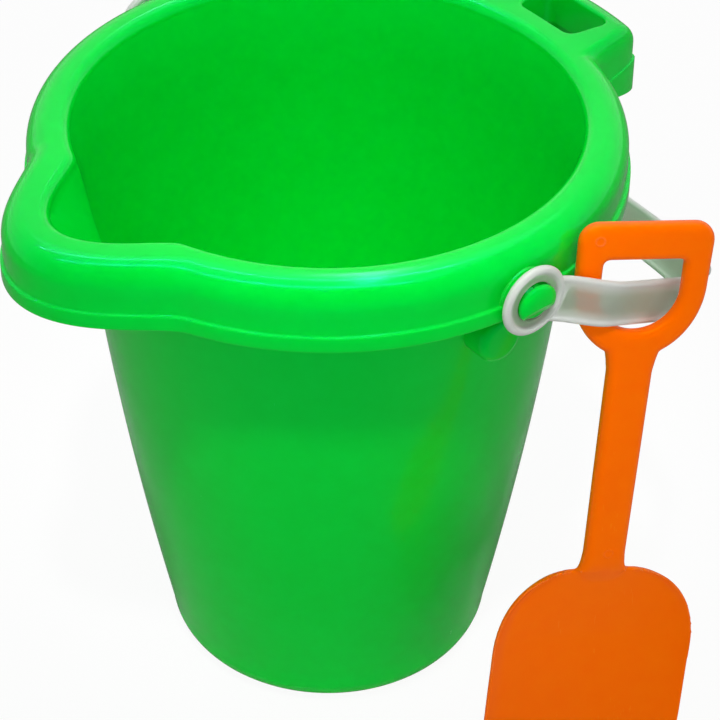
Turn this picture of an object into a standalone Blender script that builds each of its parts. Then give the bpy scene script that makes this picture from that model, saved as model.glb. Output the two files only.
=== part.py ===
"""Sand bucket with a pouring spout, a finger grip, a strap handle and a spade threaded on the handle.

The frame stands on the floor: the origin is the centre of the base, +Z is up, +X points to the
finger grip, -X to the spout, and the handle swings about a line along Y.
"""

import math

import bmesh
import bpy
from mathutils import Matrix, Vector

MM = 0.001

# Bucket body, in millimetres
HEIGHT = 235.4
RIM_R = 107.0
WALL = 2.0
WALL_TOP_R = 89.7
WALL_FOOT_R = 60.5
WALL_BELLY = 3.2
RIM_FLARE = 2.5
BASE_FILLET = 12.6
FLOOR_TOP = 4.5
FOOT_RECESS = 2.0
FOOT_OUT_R = 51.0
FOOT_IN_R = 46.0
PAD_R = 15.0

FOOT_DRAFT = 0.6
WALL_RINGS = 5
POCKET_RINGS = 2

# Rolled rim: a round lip, a round shoulder, a face, and a band that steps out below it
LIP_ROUND = 4.4
SHOULDER = 9.7
STEP_DROP = 18.4
BAND_DROP = 24.6
BAND_STEP = 1.2
BAND_BEVEL = 0.8
RIM_HOLLOW_TOP = 1.5

# Spout, opposite the finger grip
SPOUT_OUT = 24.0
SPOUT_HALF = 27.0
SPOUT_IN = 22.5
SPOUT_IN_HALF = 21.5
SPOUT_FULLNESS = 0.8
CREASE_TOP = 6.4
CREASE_DEPTH = 37.0

# Finger grip
GRIP_OUT = 23.0
GRIP_FLAT_HALF = 9.0
GRIP_HALF = 16.5
GRIP_STEP_DROP = 16.0
GRIP_BAND_DROP = 30.5
SLOT_IN_R = 102.2
SLOT_OUT_R = 120.5
SLOT_HALF = 7.9
SLOT_CORNER = 4.0
SLOT_CUT_DEPTH = 60.0
SLOT_CUT_ABOVE = 10.0
COLLAR_DEPTH = 15.0
COLLAR_INSET = 0.7

# Handle pivots, on the rim's face at -Y and +Y
PIVOT_DROP = 17.6
PIVOT_Z = HEIGHT - PIVOT_DROP
BOSS_R = 9.0
BOSS_ROOT = 105.8
BOSS_FACE = 109.4
BOSS_BEVEL = 0.6
SHANK_R = 5.8
HEAD_R = 7.8
HEAD_SQUASH = 0.88
HEAD_IN = 113.1
HEAD_FACE = 116.2
HEAD_EDGE = 0.9

# Round lugs on the wall, below the pivots
LUG_R = 9.0
LUG_ROOT = 87.2
LUG_FACE = 98.0
LUG_DROP = 43.5
LUG_BEVEL = 2.0

# Strap handle
STRAP_REACH = 136.5
STRAP_PIVOT_Y = 111.8
STRAP_BOW_Y = 119.9
STRAP_BOW_AT = 33.0
STRAP_START = 8.8
STRAP_SQUARENESS = 2.5
STRAP_WIDTH = 17.2
STRAP_ARCH = 7.3
STRAP_ARCH_POWER = 1.3
STRAP_WEB = 1.5
BEAD_R = 1.25
BEAD_BLEND = 1.2
EYE_R = 13.2
EYE_HOLE_R = 7.4
EYE_BEAD = 3.2
EYE_BEAD_EDGE = 0.8
EYE_HOLE_REACH = 8.0
STRAP_BELOW_LEVEL = 28.1

# Spade
SPADE_AT = (44.9, -117.8, 225.8)
SPADE_PIVOT = (40.0, -119.8, 210.0)
SPADE_LEAN = -10.6
SPADE_DIP = 6.5
SPADE_TURN = -26.7
D_WIDTH = 48.2
D_TOP = -7.1
D_CORNER = 7.0
D_DROP = 45.2
D_BOWL_AT = 16.5
D_BOWL_SAG = 1.5
D_BOWL_END = 66.0
D_BOWL_TAPER = 0.985
OPENING_HALF = 14.5
OPENING_TOP = 6.5
OPENING_CORNER = 1.8
OPENING_CENTRE = 19.2
SPADE_THICK = 6.6
SPADE_ROUND = 2.0
SHAFT_WIDTH_TOP = 16.4
SHAFT_WIDTH_FOOT = 15.4
SHAFT_FLARE = 1.4
BLADE_TOP = 129.0
BLADE_TIP = 229.4
BLADE_NECK = 8.5
BLADE_WIDTH = 75.4
BLADE_SHOULDER = 36.0
BLADE_SQUARENESS = 2.3
BLADE_TIP_FROM = 0.62
BLADE_END_HALF = 3.0
BLADE_THICK = 2.4
BLADE_DISH = 4.4
BLADE_DISH_LENGTH = 30.0


def clear_scene():
    for obj in list(bpy.data.objects):
        bpy.data.objects.remove(obj, do_unlink=True)


def new_collection(name, hidden=False):
    collection = bpy.data.collections.new(name)
    collection.hide_render = hidden
    bpy.context.scene.collection.children.link(collection)
    return collection


def new_material(name, color, roughness, transmission=0.0):
    material = bpy.data.materials.new(name)
    material.use_nodes = True
    shader = material.node_tree.nodes["Principled BSDF"]
    shader.inputs["Base Color"].default_value = (*color, 1.0)
    shader.inputs["Roughness"].default_value = roughness
    shader.inputs["Metallic"].default_value = 0.0
    shader.inputs["Transmission Weight"].default_value = transmission
    return material


def object_from(bm, name, collection, material=None):
    mesh = bpy.data.meshes.new(name)
    bmesh.ops.recalc_face_normals(bm, faces=bm.faces)
    bm.to_mesh(mesh)
    bm.free()
    mesh.shade_smooth()
    mesh.set_sharp_from_angle(angle=math.radians(32))
    if material:
        mesh.materials.append(material)
    obj = bpy.data.objects.new(name, mesh)
    collection.objects.link(obj)
    return obj


def join(target, tool, operation):
    """Adds a Boolean of the tool to the target. The tool is a helper, so it isn't rendered."""
    tool.hide_render = True
    tool.display_type = "WIRE"
    modifier = target.modifiers.new(f"{operation.lower()} {tool.name}", "BOOLEAN")
    modifier.operation = operation
    modifier.object = tool
    modifier.solver = "EXACT"


def bump(angle, half, fullness):
    """A rounded swelling: 1 in the middle, 0 at the half angle, in degrees."""
    if abs(angle) >= half:
        return 0.0
    return (0.5 + 0.5 * math.cos(math.pi * angle / half)) ** fullness


def plateau(angle, flat, half):
    """A swelling with a level middle and smooth flanks."""
    share = min(max((half - abs(angle)) / (half - flat), 0.0), 1.0)
    return share * share * (3 - 2 * share)


def wall_r(z):
    """Outer radius of the plain wall at a height, with its slight belly and the flare under the rim."""
    foot = HEIGHT - BAND_DROP
    share = (foot - z) / foot
    if share >= 0:
        return WALL_TOP_R + (WALL_FOOT_R - WALL_TOP_R) * share + WALL_BELLY * 4 * share * (1 - share)
    rise = (z - foot) / BAND_DROP
    draft = (WALL_TOP_R - WALL_FOOT_R - 4 * WALL_BELLY) / foot
    return WALL_TOP_R + draft * (z - foot) + RIM_FLARE * rise * rise


def arc(cr, cz, radius, start, end, steps):
    """Points of a round stretch of the section, with angles in degrees from +r towards +z."""
    points = []
    for i in range(steps + 1):
        a = math.radians(start + (end - start) * i / steps)
        points.append((cr + radius * math.cos(a), cz + radius * math.sin(a)))
    return points


def section(theta):
    """The bucket's closed section at an azimuth in degrees, from the floor's centre out and round."""
    from_spout = theta % 360 - 180
    from_grip = (theta + 180) % 360 - 180
    out = SPOUT_OUT * bump(from_spout, SPOUT_HALF, SPOUT_FULLNESS)
    inward = SPOUT_IN * bump(from_spout, SPOUT_IN_HALF, SPOUT_FULLNESS)
    grip = plateau(from_grip, GRIP_FLAT_HALF, GRIP_HALF)
    out += GRIP_OUT * grip
    step_z = HEIGHT - STEP_DROP + (STEP_DROP - GRIP_STEP_DROP) * grip
    band_z = HEIGHT - BAND_DROP + (BAND_DROP - GRIP_BAND_DROP) * grip
    across = min(abs(from_spout) / SPOUT_IN_HALF, 1.0)
    crease_z = HEIGHT - CREASE_TOP - (CREASE_DEPTH - CREASE_TOP) * math.sqrt(1 - across * across)
    lip_z = HEIGHT - LIP_ROUND

    def wall_point(z, offset):
        share = min(max((z - crease_z) / (lip_z - crease_z), 0.0), 1.0)
        return (wall_r(z) - offset + inward * share, z)

    low = BASE_FILLET
    heights = [low + (crease_z - low) * i / WALL_RINGS for i in range(WALL_RINGS + 1)]
    heights += [crease_z + (lip_z - crease_z) * i / POCKET_RINGS for i in range(1, POCKET_RINGS + 1)]
    inner = [wall_point(z, WALL) for z in heights]
    outer = [wall_point(z, 0) for z in reversed(heights)]

    fillet_r = wall_r(low) - BASE_FILLET
    inner_fillet = BASE_FILLET - FLOOR_TOP
    floor_r = fillet_r + BASE_FILLET - WALL - inner_fillet
    points = [(fillet_r * 0.5, FLOOR_TOP), (floor_r, FLOOR_TOP)]
    points += arc(floor_r, low, inner_fillet, -60, -30, 1)
    points += inner
    lip_top_r = inner[-1][0] + LIP_ROUND
    points += arc(lip_top_r, lip_z, LIP_ROUND, 150, 90, 2)
    shoulder_r = RIM_R - SHOULDER + out
    points += arc(shoulder_r, HEIGHT - SHOULDER, SHOULDER, 90, 0, 4)
    face_r = RIM_R + out
    band_r = face_r + BAND_STEP
    points += [(face_r, step_z), (band_r, step_z - BAND_BEVEL), (band_r, band_z + BAND_BEVEL)]
    points += [(band_r - BAND_BEVEL, band_z), (band_r - WALL, band_z)]
    points += [(face_r - WALL, step_z - RIM_HOLLOW_TOP)]
    points += arc(shoulder_r, HEIGHT - SHOULDER, SHOULDER - WALL, 0, 90, 3)
    points += [(outer[0][0] + RIM_HOLLOW_TOP, HEIGHT - WALL)]
    points += outer
    points += arc(fillet_r, low, BASE_FILLET, 0, -90, 4)[1:-1]
    points += [(FOOT_OUT_R, 0), (FOOT_IN_R, 0), (FOOT_IN_R - FOOT_DRAFT, FOOT_RECESS)]
    return points + [(PAD_R + FOOT_DRAFT, FOOT_RECESS), (PAD_R, 0)]


def azimuths():
    """Section azimuths in degrees, closer together at the spout and the grip."""
    angles = [0.0]
    while angles[-1] < 360:
        a = angles[-1]
        near_grip = a < 18 or a >= 342
        near_spout = 150 <= a < 210
        angles.append(a + (2.0 if near_grip else 3.0 if near_spout else 6.0))
    return angles[:-1]


def ring_mesh(sections, bottom_z, top_z):
    """Lofts closed sections round the axis and closes them with a point on the axis at both ends."""
    bm = bmesh.new()
    rings = []
    for theta, points in sections:
        a = math.radians(theta)
        rings.append([bm.verts.new((r * math.cos(a) * MM, r * math.sin(a) * MM, z * MM)) for r, z in points])
    start = bm.verts.new((0, 0, top_z * MM))
    end = bm.verts.new((0, 0, bottom_z * MM))
    for i, ring in enumerate(rings):
        following = rings[(i + 1) % len(rings)]
        bm.faces.new((start, following[0], ring[0]))
        bm.faces.new((end, ring[-1], following[-1]))
        for k in range(len(ring) - 1):
            bm.faces.new((ring[k], following[k], following[k + 1], ring[k + 1]))
    return bm


def slot_outline(grow):
    """The grip's opening as (radius, azimuth in degrees) points, with rounded corners."""
    mid_r = (SLOT_IN_R + SLOT_OUT_R) / 2
    half_r = (SLOT_OUT_R - SLOT_IN_R) / 2 + grow
    half_t = math.radians(SLOT_HALF) * mid_r + grow
    corner = SLOT_CORNER + grow
    outline = []
    for cr, ct, first in ((1, 1, 0), (-1, 1, 90), (-1, -1, 180), (1, -1, 270)):
        for i in range(5):
            a = math.radians(first + 90 * i / 4)
            r = mid_r + cr * (half_r - corner) + corner * math.cos(a)
            t = ct * (half_t - corner) + corner * math.sin(a)
            outline.append((r, math.degrees(t / mid_r)))
    return outline


def polar_prism(outline, low, high, name, collection):
    bm = bmesh.new()
    loops = []
    for z in (low, high):
        loop = []
        for r, t in outline:
            a = math.radians(t)
            loop.append(bm.verts.new((r * math.cos(a) * MM, r * math.sin(a) * MM, z * MM)))
        loops.append(loop)
    count = len(outline)
    for i in range(count):
        k = (i + 1) % count
        bm.faces.new((loops[0][i], loops[0][k], loops[1][k], loops[1][i]))
    bm.faces.new(loops[0][::-1])
    bm.faces.new(loops[1])
    return object_from(bm, name, collection)


def turned_y(profile, name, collection, side, z, squash=1.0, steps=32):
    """A turned solid about a line along Y. The profile holds (radius, distance along Y) points."""
    bm = bmesh.new()
    rings = []
    for i in range(steps):
        a = 2 * math.pi * i / steps
        ring = []
        for r, y in profile:
            up = z + squash * r * math.sin(a)
            ring.append(bm.verts.new((r * math.cos(a) * MM, side * y * MM, up * MM)))
        rings.append(ring)
    for i in range(steps):
        ring, following = rings[i], rings[(i + 1) % steps]
        for k in range(len(profile)):
            n = (k + 1) % len(profile)
            if profile[k][0] > 0 or profile[n][0] > 0:
                bm.faces.new((ring[k], ring[n], following[n], following[k]))
    bmesh.ops.remove_doubles(bm, verts=bm.verts, dist=1e-6)
    return object_from(bm, name, collection)


def build_bucket(collection, helpers, material):
    sections = [(theta, section(theta)) for theta in azimuths()]
    bm = ring_mesh(sections, 0.0, FLOOR_TOP)
    bucket = object_from(bm, "bucket_body", collection, material)
    collar_low, collar_high = HEIGHT - COLLAR_DEPTH, HEIGHT - COLLAR_INSET
    collar = polar_prism(slot_outline(WALL), collar_low, collar_high, "slot_collar", helpers)
    join(bucket, collar, "UNION")
    cut_low, cut_high = HEIGHT - SLOT_CUT_DEPTH, HEIGHT + SLOT_CUT_ABOVE
    slot = polar_prism(slot_outline(0.0), cut_low, cut_high, "slot_cut", helpers)
    join(bucket, slot, "DIFFERENCE")
    boss = [(0, BOSS_ROOT), (BOSS_R, BOSS_ROOT), (BOSS_R, BOSS_FACE - BOSS_BEVEL)]
    boss += [(BOSS_R - BOSS_BEVEL, BOSS_FACE), (SHANK_R, BOSS_FACE), (SHANK_R, HEAD_IN + HEAD_EDGE), (0, HEAD_IN + HEAD_EDGE)]
    dome = HEAD_FACE - HEAD_IN - HEAD_EDGE
    head = [(0, HEAD_IN), (HEAD_R, HEAD_IN)]
    head += [(HEAD_R * math.cos(a) ** 0.75, HEAD_IN + HEAD_EDGE + dome * math.sin(a)) for a in (0, 0.5, 1.05)]
    head += [(0, HEAD_FACE)]
    lug = [(0, LUG_ROOT), (LUG_R, LUG_ROOT), (LUG_R, LUG_FACE - LUG_BEVEL), (LUG_R - LUG_BEVEL, LUG_FACE)]
    lug += [(0, LUG_FACE)]
    for side, tag in ((-1, "near"), (1, "far")):
        join(bucket, turned_y(boss, f"boss_{tag}", helpers, side, PIVOT_Z), "UNION")
        join(bucket, turned_y(head, f"head_{tag}", helpers, side, PIVOT_Z, squash=HEAD_SQUASH), "UNION")
        join(bucket, turned_y(lug, f"lug_{tag}", helpers, side, HEIGHT - LUG_DROP), "UNION")
    return bucket


def strap_path():
    """(distance from the pivot line, Y) along the strap's middle, from the -Y eye to the +Y one."""
    half = []
    for i in range(7):
        s = STRAP_START + (STRAP_BOW_AT - STRAP_START) * i / 7
        lift = 0.5 - 0.5 * math.cos(math.pi * i / 7)
        half.append((s, STRAP_PIVOT_Y + (STRAP_BOW_Y - STRAP_PIVOT_Y) * lift))
    power = 2 / STRAP_SQUARENESS
    for i in range(17):
        a = math.pi / 2 * i / 16
        s = STRAP_BOW_AT + (STRAP_REACH - STRAP_BOW_AT) * math.sin(a) ** power
        half.append((s, STRAP_BOW_Y * math.cos(a) ** power if i < 16 else 0.0))
    return [(s, -y) for s, y in half] + [(s, y) for s, y in reversed(half[:-1])]


def strap_section():
    """(across the thickness, across the width) points round the strap, with a bead on each edge."""
    web, edge = STRAP_WEB / 2, STRAP_WIDTH / 2
    bead_at = edge - BEAD_R
    points = []
    for i in range(6):
        a = math.radians(-40 + 260 * i / 5)
        points.append((BEAD_R * math.cos(a), bead_at + BEAD_R * math.sin(a)))
    points = [(web, bead_at - BEAD_BLEND)] + points + [(-web, bead_at - BEAD_BLEND)]
    return points + [(-x, -w) for x, w in points]


def strap_rise(s):
    """How far the strap's middle stands above its plane at a distance from the pivot line."""
    share = s / STRAP_REACH
    return STRAP_ARCH * max(4 * share * (1 - share), 0.0) ** STRAP_ARCH_POWER


def eye_profile():
    """Half the section of the strap's eye: a thin web inside, a round bead outside."""
    web, thick = STRAP_WEB / 2 + 0.1, EYE_BEAD / 2
    bead_in = EYE_R - EYE_BEAD + EYE_BEAD_EDGE
    profile = [(EYE_HOLE_R, -web), (bead_in - EYE_BEAD_EDGE, -web), (bead_in, -thick)]
    profile += [(EYE_R - EYE_BEAD_EDGE, -thick), (EYE_R, -thick / 2), (EYE_R, thick / 2)]
    profile += [(EYE_R - EYE_BEAD_EDGE, thick), (bead_in, thick), (bead_in - EYE_BEAD_EDGE, web)]
    profile += [(EYE_HOLE_R, web)]
    return [(r, STRAP_PIVOT_Y + y) for r, y in profile]


def build_handle(collection, helpers, material):
    """The strap lies in the local XY plane with its pivots on the local Y axis, and is then lowered."""
    bm = bmesh.new()
    path = strap_path()
    outline = strap_section()
    loops = []
    for i, (s, y) in enumerate(path):
        before, after = path[max(i - 1, 0)], path[min(i + 1, len(path) - 1)]
        along = Vector((after[0] - before[0], after[1] - before[1])).normalized()
        side = Vector((along.y, -along.x))
        rise = strap_rise(s)
        loops.append(
            [bm.verts.new(((s + side.x * t) * MM, (y + side.y * t) * MM, (w + rise) * MM)) for t, w in outline]
        )
    count = len(outline)
    for first, second in zip(loops, loops[1:]):
        for k in range(count):
            n = (k + 1) % count
            bm.faces.new((first[k], first[n], second[n], second[k]))
    bm.faces.new(loops[0])
    bm.faces.new(loops[-1][::-1])
    handle = object_from(bm, "strap_handle", collection, material)
    inside, outside = STRAP_PIVOT_Y - EYE_HOLE_REACH, STRAP_PIVOT_Y + EYE_HOLE_REACH
    hole = [(0, inside), (EYE_HOLE_R, inside), (EYE_HOLE_R, outside), (0, outside)]
    for side, tag in ((-1, "near"), (1, "far")):
        join(handle, turned_y(eye_profile(), f"eye_{tag}", helpers, side, 0.0), "UNION")
        join(handle, turned_y(hole, f"eye_hole_{tag}", helpers, side, 0.0), "DIFFERENCE")
    pivot = bpy.data.objects.new("handle_pivot", None)
    collection.objects.link(pivot)
    pivot.location = (0, 0, PIVOT_Z * MM)
    pivot.rotation_euler = (0, math.radians(STRAP_BELOW_LEVEL), 0)
    for obj in [handle] + [o for o in helpers.objects if o.name.startswith("eye_")]:
        obj.parent = pivot
    return handle


def d_outline():
    """Outer edge of the D grip and the shaft, as (across, down) points in the spade's plane."""
    half = D_WIDTH / 2
    points = []
    for i in range(5):
        a = math.radians(90 * i / 4)
        points.append((half - D_CORNER + D_CORNER * math.sin(a), D_TOP + D_CORNER - D_CORNER * math.cos(a)))
    bowl = D_DROP - D_BOWL_AT - D_BOWL_SAG
    for i in range(8):
        a = math.radians(D_BOWL_END * i / 7)
        points.append((half * math.cos(a) * D_BOWL_TAPER, D_BOWL_AT + bowl * math.sin(a)))
    points.append((SHAFT_WIDTH_TOP / 2 + 0.6, D_DROP))
    points.append((SHAFT_WIDTH_TOP / 2, D_DROP + 4))
    points.append((SHAFT_WIDTH_FOOT / 2, BLADE_TOP - 7))
    points.append((SHAFT_WIDTH_FOOT / 2 + SHAFT_FLARE, BLADE_TOP + 1))
    points.append((SHAFT_WIDTH_FOOT / 2 - SHAFT_FLARE, BLADE_TOP + 6))
    points.append((SHAFT_FLARE, BLADE_TOP + 12))
    return points + [(-x, y) for x, y in reversed(points)]


def opening_outline():
    """The D grip's opening: straight at the bar, round below."""
    points = []
    for i in range(3):
        a = math.radians(90 * i / 2)
        across = OPENING_HALF - OPENING_CORNER + OPENING_CORNER * math.sin(a)
        points.append((across, OPENING_TOP + OPENING_CORNER - OPENING_CORNER * math.cos(a)))
    for i in range(9):
        a = math.radians(90 * i / 8)
        points.append((OPENING_HALF * math.cos(a), OPENING_CENTRE + OPENING_HALF * math.sin(a)))
    return points + [(-x, y) for x, y in reversed(points[:-1])]


def flat_solid(name, outlines, thick, round_edge, collection):
    """A flat piece cut from the outlines, with softened edges, standing in the local XZ plane."""
    curve = bpy.data.curves.new(name, "CURVE")
    curve.dimensions = "2D"
    curve.fill_mode = "BOTH"
    for outline in outlines:
        spline = curve.splines.new("POLY")
        spline.points.add(len(outline) - 1)
        for point, (across, down) in zip(spline.points, outline):
            point.co = (across * MM, -down * MM, 0, 1)
        spline.use_cyclic_u = True
    curve.extrude = (thick / 2 - round_edge) * MM
    curve.bevel_depth = round_edge * MM
    curve.bevel_resolution = 1
    curve.offset = -round_edge * MM
    source = bpy.data.objects.new(name, curve)
    collection.objects.link(source)
    bpy.context.view_layer.update()
    graph = bpy.context.evaluated_depsgraph_get()
    mesh = bpy.data.meshes.new_from_object(source.evaluated_get(graph))
    bpy.data.objects.remove(source)
    bm = bmesh.new()
    bm.from_mesh(mesh)
    bmesh.ops.remove_doubles(bm, verts=bm.verts, dist=1e-6)
    bmesh.ops.rotate(bm, verts=bm.verts, matrix=Matrix.Rotation(math.radians(90), 3, "X"))
    return object_from(bm, name, collection)


def blade_half_width(down):
    """Half the blade's width at a distance below the grip bar."""
    share = min(max((down - BLADE_TOP) / (BLADE_TIP - BLADE_TOP), 0.0), 1.0)
    along = min(max((down - BLADE_TOP) / BLADE_SHOULDER, 0.0), 1.0)
    shoulder = (1 - (1 - along) ** BLADE_SQUARENESS) ** (1 / BLADE_SQUARENESS)
    tip = math.sqrt(max(1 - max((share - BLADE_TIP_FROM) / (1 - BLADE_TIP_FROM), 0.0) ** 2.4, 0.0))
    return (BLADE_NECK + (BLADE_WIDTH / 2 - BLADE_NECK) * shoulder) * tip


def build_blade(helpers):
    """The dished blade: a grid of points on its front and back, closed round the edge."""
    bm = bmesh.new()
    rows, columns = 22, 12
    front, back = [], []
    for i in range(rows + 1):
        share = 0.5 - 0.5 * math.cos(math.pi * i / rows)
        down = BLADE_TOP + (BLADE_TIP - BLADE_TOP) * share
        half = max(blade_half_width(down), BLADE_END_HALF)
        front_row, back_row = [], []
        for k in range(columns + 1):
            across = 2 * k / columns - 1
            x = half * across
            middle = (x / (BLADE_WIDTH / 2)) ** 2
            y = BLADE_DISH * (1 - middle) * min((down - BLADE_TOP) / BLADE_DISH_LENGTH, 1.0)
            front_row.append(bm.verts.new((x * MM, (y - BLADE_THICK / 2) * MM, -down * MM)))
            back_row.append(bm.verts.new((x * MM, (y + BLADE_THICK / 2) * MM, -down * MM)))
        front.append(front_row)
        back.append(back_row)
    for i in range(rows):
        for k in range(columns):
            bm.faces.new((front[i][k], front[i][k + 1], front[i + 1][k + 1], front[i + 1][k]))
            bm.faces.new((back[i][k], back[i + 1][k], back[i + 1][k + 1], back[i][k + 1]))
        bm.faces.new((front[i][0], front[i + 1][0], back[i + 1][0], back[i][0]))
        bm.faces.new((front[i][-1], back[i][-1], back[i + 1][-1], front[i + 1][-1]))
    for k in range(columns):
        bm.faces.new((front[0][k], back[0][k], back[0][k + 1], front[0][k + 1]))
        bm.faces.new((front[-1][k], front[-1][k + 1], back[-1][k + 1], back[-1][k]))
    return object_from(bm, "blade", helpers)


def build_spade(collection, helpers, material):
    spade = flat_solid("spade", [d_outline(), opening_outline()], SPADE_THICK, SPADE_ROUND, collection)
    spade.data.materials.append(material)
    blade = build_blade(helpers)
    join(spade, blade, "UNION")
    pivot = bpy.data.objects.new("spade_pivot", None)
    collection.objects.link(pivot)
    pivot.location = Vector(SPADE_PIVOT) * MM
    for obj in (spade, blade):
        obj.parent = pivot
        obj.location = (Vector(SPADE_AT) - Vector(SPADE_PIVOT)) * MM
        obj.rotation_euler = [math.radians(a) for a in (SPADE_LEAN, SPADE_DIP, SPADE_TURN)]
    return spade


def main():
    clear_scene()
    collection = new_collection("sand_bucket")
    helpers = new_collection("helpers", hidden=True)
    green = new_material("green_plastic", (0.0, 0.49, 0.05), 0.28)
    natural = new_material("natural_plastic", (0.82, 0.86, 0.82), 0.35, transmission=0.5)
    orange = new_material("orange_plastic", (0.9, 0.13, 0.003), 0.32)
    build_bucket(collection, helpers, green)
    build_handle(collection, helpers, natural)
    build_spade(collection, helpers, orange)


main()
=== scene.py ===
"""Looks for the sand bucket: a green pail, a milky strap handle and an orange spade, in a plain studio."""

import math

import bmesh
import bpy
from mathutils import Matrix, Vector


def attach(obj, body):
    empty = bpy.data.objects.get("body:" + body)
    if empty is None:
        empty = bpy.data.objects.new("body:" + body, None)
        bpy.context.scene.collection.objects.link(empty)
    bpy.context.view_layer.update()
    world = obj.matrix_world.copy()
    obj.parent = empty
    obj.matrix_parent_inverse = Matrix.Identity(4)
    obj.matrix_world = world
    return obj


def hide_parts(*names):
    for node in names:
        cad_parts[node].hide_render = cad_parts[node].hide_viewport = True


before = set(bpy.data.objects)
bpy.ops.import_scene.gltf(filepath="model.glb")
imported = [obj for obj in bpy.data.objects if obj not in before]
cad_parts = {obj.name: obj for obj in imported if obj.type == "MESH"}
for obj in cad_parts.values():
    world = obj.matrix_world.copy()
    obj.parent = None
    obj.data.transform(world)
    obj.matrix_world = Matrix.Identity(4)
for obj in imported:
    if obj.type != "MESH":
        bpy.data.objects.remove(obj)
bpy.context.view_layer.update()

MM = 0.001

# Bucket body, in millimetres, as in the CAD
HEIGHT = 235.4
RIM_R = 107.0
WALL = 2.0
WALL_TOP_R = 89.7
WALL_FOOT_R = 60.5
WALL_BELLY = 3.2
RIM_FLARE = 2.5
BASE_FILLET = 12.6
FLOOR_TOP = 4.5
FOOT_RECESS = 2.0
FOOT_OUT_R = 51.0
FOOT_IN_R = 46.0
PAD_R = 15.0
LIP_ROUND = 4.4
SHOULDER = 9.7
STEP_DROP = 18.4
BAND_DROP = 24.6
BAND_STEP = 1.2
BAND_ROUND = 0.7
SPOUT_OUT = 24.0
SPOUT_HALF = 27.0
SPOUT_IN = 22.5
SPOUT_IN_HALF = 21.5
SPOUT_FULLNESS = 0.8
CREASE_TOP = 6.4
CREASE_DEPTH = 37.0
CREASE_SOFTNESS = 0.07
GRIP_OUT = 23.0
GRIP_FLAT_HALF = 9.0
GRIP_HALF = 16.5
GRIP_STEP_DROP = 16.0
GRIP_BAND_DROP = 30.5
SLOT_IN_R = 102.2
SLOT_OUT_R = 120.5
SLOT_HALF = 7.9
SLOT_CORNER = 4.0
SLOT_ROUND = 1.3
COLLAR_DEPTH = 15.0
PIVOT_Z = HEIGHT - 17.6
BOSS_R = 9.0
BOSS_FACE = 109.4
SHANK_R = 5.8
HEAD_R = 7.8
HEAD_SQUASH = 0.88
HEAD_IN = 113.1
HEAD_FACE = 116.2
HEAD_FACET = (0.0, -0.84, -0.54)
LUG_R = 9.0
LUG_SOFTNESS = 3.0
LUG_ROOT = 87.2
LUG_FACE = 98.0
LUG_DROP = 43.5

# Strap handle
STRAP_REACH = 136.5
STRAP_PIVOT_Y = 111.8
STRAP_BOW_Y = 119.9
STRAP_BOW_AT = 33.0
STRAP_START = 8.8
STRAP_SQUARENESS = 2.5
STRAP_WIDTH = 17.2
STRAP_ARCH = 7.3
STRAP_ARCH_POWER = 1.3
STRAP_WEB = 1.5
BEAD_R = 1.25
BEAD_FADE = 0.9
GATE_MARK_AT = 17.5
GATE_MARK_UP = 1.2
EYE_R = 13.2
EYE_HOLE_R = 7.4
EYE_BEAD = 3.2
EYE_BEAD_FADE = 1.2
EYE_DEPTH = 3.0
STRAP_BELOW_LEVEL = 28.1

# Spade
SPADE_AT = (44.9, -117.8, 225.8)
SPADE_LEAN = -10.6
SPADE_DIP = 6.5
SPADE_TURN = -26.7
D_WIDTH = 48.2
D_TOP = -7.1
D_CORNER = 7.0
D_DROP = 45.2
D_BOWL_AT = 16.5
D_BOWL_SAG = 1.5
D_BOWL_END = 66.0
D_BOWL_TAPER = 0.985
OPENING_HALF = 14.5
OPENING_TOP = 6.5
OPENING_CORNER = 1.8
OPENING_CENTRE = 18.9
SPADE_THICK = 6.6
SPADE_ROUND = 2.9
SHAFT_WIDTH_TOP = 16.4
SHAFT_WIDTH_FOOT = 15.4
BLADE_TOP = 129.0
BLADE_TIP = 229.4
BLADE_NECK = 8.5
BLADE_WIDTH = 75.4
BLADE_SHOULDER = 36.0
BLADE_SQUARENESS = 2.3
BLADE_TIP_FROM = 0.62
BLADE_THICK = 2.4
BLADE_DISH = 4.4
BLADE_DISH_LENGTH = 30.0
BLADE_LIP = 3.2
EJECTOR_MARKS = ((-17.5, -1.5), (0.5, 121.0))
MARK_R = 1.6
MARK_LINE = 0.5
MARK_RISE = 0.22

# Surfaces: roundness by which the pale edges (wear and a painted highlight) find an edge, and how deep the
# relief is, in metres
WEAR_AND_HIGHLIGHT_RADIUS = 0.0006
RELIEF_DEPTH = 0.00004
SCATTER_DEPTH = 0.003

# Camera: place and view direction in metres, roll in degrees, lens and sensor in millimetres
CAMERA_AT = (-0.4926, -0.6387, 0.7623)
CAMERA_LOOKS = (0.4877, 0.6132, -0.6215)
CAMERA_ROLL = 0.438
LENS = 135.55
SENSOR = 36.0

# Studio: radiances, except the lamp's power in watts and the share by which the floor is whitened
ROOM = 0.46
CEILING = 0.82
FRONT = 1.22
CAVITY_LAMP = 138.0
FLOOR_LIFT = 0.94
FLOOR_RADIUS = 6.0
STRIP_Z = 1.43
# Tube lamps: name, start and end as (away from the camera, to the right), width, radiance
STRIPS = (
    ("strip_back", (0.32, -0.95), (0.32, 0.45), 0.016, 50.0),
    ("strip_front", (-0.38, -0.95), (-0.38, 0.45), 0.016, 50.0),
    ("strip_long", (1.33, 0.02), (-0.25, 0.17), 0.07, 12.0),
)


# --- Small mesh tools -------------------------------------------------------------------------


def arc(cr, cz, radius, start, end, steps):
    """Points of a round stretch, with angles in degrees from +r towards +z."""
    points = []
    for i in range(steps + 1):
        a = math.radians(start + (end - start) * i / steps)
        points.append((cr + radius * math.cos(a), cz + radius * math.sin(a)))
    return points


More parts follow.
